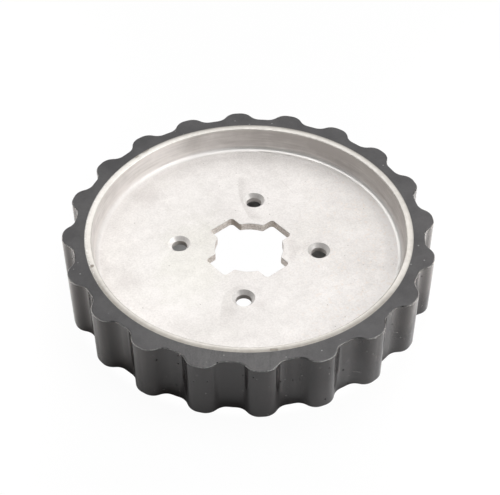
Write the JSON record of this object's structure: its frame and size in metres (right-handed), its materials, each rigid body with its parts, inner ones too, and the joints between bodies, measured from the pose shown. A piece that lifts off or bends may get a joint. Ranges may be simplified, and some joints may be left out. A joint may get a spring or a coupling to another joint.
{
  "type": "gate operator drive wheel",
  "caption": "Dished cast aluminium drive wheel with a lobed polyurethane tyre, countersunk bolt holes and a slotted centre cut-out, for a slide gate operator.",
  "frame": {"origin": "on the wheel's axis, at the back face on which it lies", "axes": "+Z along the spin axis, from the back face to the countersunk front; bolt holes on the X and Y axes"},
  "size_m": [0.2016, 0.2016, 0.0363],
  "materials": {
    "hub": "satin cast surface with machined rim edges",
    "tyre": "dark grey moulded polyurethane, satin"
  },
  "bodies": {
    "root": {"hub": "hub", "tyre": "tyre"}
  },
  "joints": []
}
